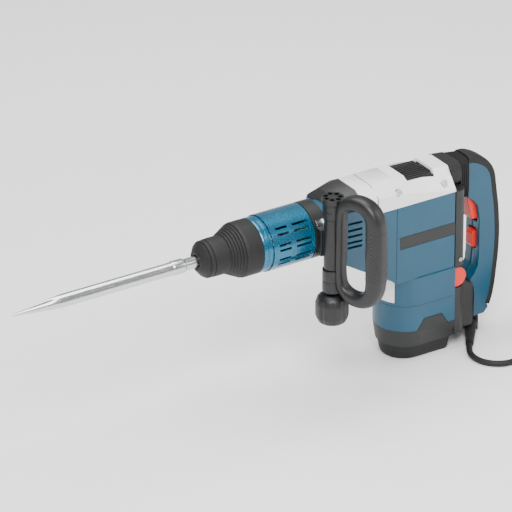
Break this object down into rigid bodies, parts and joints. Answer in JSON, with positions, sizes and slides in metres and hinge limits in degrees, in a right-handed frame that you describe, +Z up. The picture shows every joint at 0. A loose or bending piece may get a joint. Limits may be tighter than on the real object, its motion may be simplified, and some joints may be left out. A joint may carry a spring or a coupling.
{
  "type": "demolition hammer",
  "caption": "Corded demolition hammer with pointed chisel, locking chuck sleeve, swivelling side handle on a clamp, upright motor housing and sprung D-shaped rear handle with trigger.",
  "frame": {"origin": "centre of the foot's flat bottom, on the motor's vertical axis", "axes": "-X along the hammer towards the chisel's tip, +X to the rear handle, +Z up, side handle on the -Y side"},
  "size_m": [1.015, 0.1934, 0.3385],
  "materials": {
    "blue_housing": "moulded blue glass-filled nylon, satin",
    "blue_metal": "blue lacquered metal, satin gloss",
    "silver_casting": "shot-blasted light metal casting",
    "dark_plastic": "dark grey moulded nylon, fine grain",
    "black_plastic": "black moulded nylon, satin",
    "soft_rubber": "matt black elastomer",
    "steel": "ground and polished steel",
    "copper": "copper windings on a steel core",
    "red_plastic": "red moulded plastic",
    "white_label": "blank printed film",
    "lamp_lens": "small clear lens"
  },
  "bodies": {
    "housing": {"motor_housing": "blue_housing", "front_casing": "blue_housing", "nose_cover": "dark_plastic", "gear_housing": "silver_casting", "bearing_flange": "silver_casting", "top_vent_insert": "black_plastic", "gear_housing_screw_1": "steel", "gear_housing_screw_2": "steel", "gear_housing_screw_3": "steel", "gear_housing_screw_4": "steel", "side_trim_left": "dark_plastic", "side_trim_right": "dark_plastic", "motor_end_cap": "dark_plastic", "base_foot": "soft_rubber", "rear_cover": "dark_plastic", "handle_mount_block": "black_plastic", "lower_bellows": "soft_rubber", "upper_bellows": "soft_rubber", "damper_spring": "steel", "rating_label": "white_label", "service_lamp": "lamp_lens", "electronics_module": "dark_plastic", "stator": "steel", "lower_bearing": "steel", "upper_bearing": "steel", "brush_holder_left": "copper", "brush_holder_right": "copper", "hammer_tube": "steel", "barrel_shroud": "blue_metal", "cord_gland": "black_plastic", "strain_relief_sleeve": "soft_rubber", "power_cord": "soft_rubber", "cord_coil": "soft_rubber", "power_plug": "soft_rubber"},
    "tool_holder": {"tool_holder": "steel", "dust_cap": "soft_rubber", "locking_spring": "steel"},
    "locking_sleeve": {"locking_sleeve": "soft_rubber", "sleeve_collar": "blue_metal"},
    "chisel": {"chisel": "steel"},
    "impact_bolt": {"impact_bolt": "steel"},
    "striker": {"striker": "steel"},
    "piston": {"piston": "steel", "conrod": "steel"},
    "armature": {"armature": "copper"},
    "crank_gear": {"crank_gear": "steel"},
    "side_clamp": {"clamp_band": "black_plastic", "clamp_saddle": "black_plastic", "clamp_bolt": "black_plastic"},
    "side_handle": {"side_handle_frame": "black_plastic", "side_grip": "soft_rubber"},
    "side_knob": {"side_knob": "black_plastic"},
    "rear_handle": {"handle_shell_left": "blue_housing", "handle_shell_right": "blue_housing", "handle_soft_grip": "soft_rubber"},
    "trigger": {"trigger": "red_plastic"},
    "lock_button": {"lock_button": "red_plastic"},
    "speed_wheel": {"speed_wheel": "red_plastic"}
  },
  "joints": [
    {"name": "tool_holder_index", "type": "hinge", "parent": "housing", "child": "tool_holder", "pos_m": [0, 0, 0.249], "axis": [1, 0, 0], "continuous": true},
    {"name": "locking_sleeve_pull", "type": "slide", "parent": "tool_holder", "child": "locking_sleeve", "axis": [1, 0, 0], "range_m": [0, 0.008], "stiffness_N_per_m": 2500, "springref_m": -0.008, "deforming": ["locking_spring"]},
    {"name": "chisel_travel", "type": "slide", "parent": "tool_holder", "child": "chisel", "axis": [-1, 0, 0], "range_m": [0, 0.012]},
    {"name": "impact_bolt_travel", "type": "slide", "parent": "tool_holder", "child": "impact_bolt", "axis": [1, 0, 0], "range_m": [0, 0.005]},
    {"name": "striker_travel", "type": "slide", "parent": "housing", "child": "striker", "axis": [1, 0, 0], "range_m": [0, 0.011]},
    {"name": "piston_stroke", "type": "slide", "parent": "housing", "child": "piston", "axis": [-1, 0, 0], "range_m": [0, 0.02]},
    {"name": "motor_spin", "type": "hinge", "parent": "housing", "child": "armature", "pos_m": [-0.003, 0, 0.1], "axis": [0, 0, 1], "continuous": true},
    {"name": "crank_spin", "type": "hinge", "parent": "housing", "child": "crank_gear", "pos_m": [-0.053, 0, 0.227], "axis": [0, 0, 1], "continuous": true},
    {"name": "side_clamp_turn", "type": "hinge", "parent": "housing", "child": "side_clamp", "pos_m": [0, 0, 0.249], "axis": [1, 0, 0], "continuous": true},
    {"name": "side_handle_swing", "type": "hinge", "parent": "side_clamp", "child": "side_handle", "pos_m": [-0.171, -0.058, 0.249], "axis": [0, 0, 1], "range_deg": [-80, 45]},
    {"name": "side_knob_turn", "type": "hinge", "parent": "side_clamp", "child": "side_knob", "pos_m": [-0.171, -0.058, 0.14], "axis": [0, 0, 1], "continuous": true},
    {"name": "rear_handle_damping", "type": "hinge", "parent": "housing", "child": "rear_handle", "pos_m": [0.112, 0, 0.045], "axis": [0, 1, 0], "range_deg": [-2.5, 0], "stiffness_Nm_per_rad": 250, "springref_deg": 2.86, "deforming": ["upper_bellows", "damper_spring", "lower_bellows"]},
    {"name": "trigger_pull", "type": "hinge", "parent": "rear_handle", "child": "trigger", "pos_m": [0.118, 0, 0.243], "axis": [0, 1, 0], "range_deg": [-5.5, 0], "stiffness_Nm_per_rad": 4, "springref_deg": 5.73},
    {"name": "lock_button_push", "type": "slide", "parent": "rear_handle", "child": "lock_button", "axis": [1, 0, 0], "range_m": [0, 0.003], "stiffness_N_per_m": 600, "springref_m": -0.003},
    {"name": "speed_wheel_turn", "type": "hinge", "parent": "housing", "child": "speed_wheel", "pos_m": [0.0635, -0.0403, 0.121], "axis": [0, 1, 0], "range_deg": [0, 300]}
  ],
  "couplings": [
    {"joint": "crank_spin", "follows": "motor_spin", "ratio": -0.25}
  ]
}
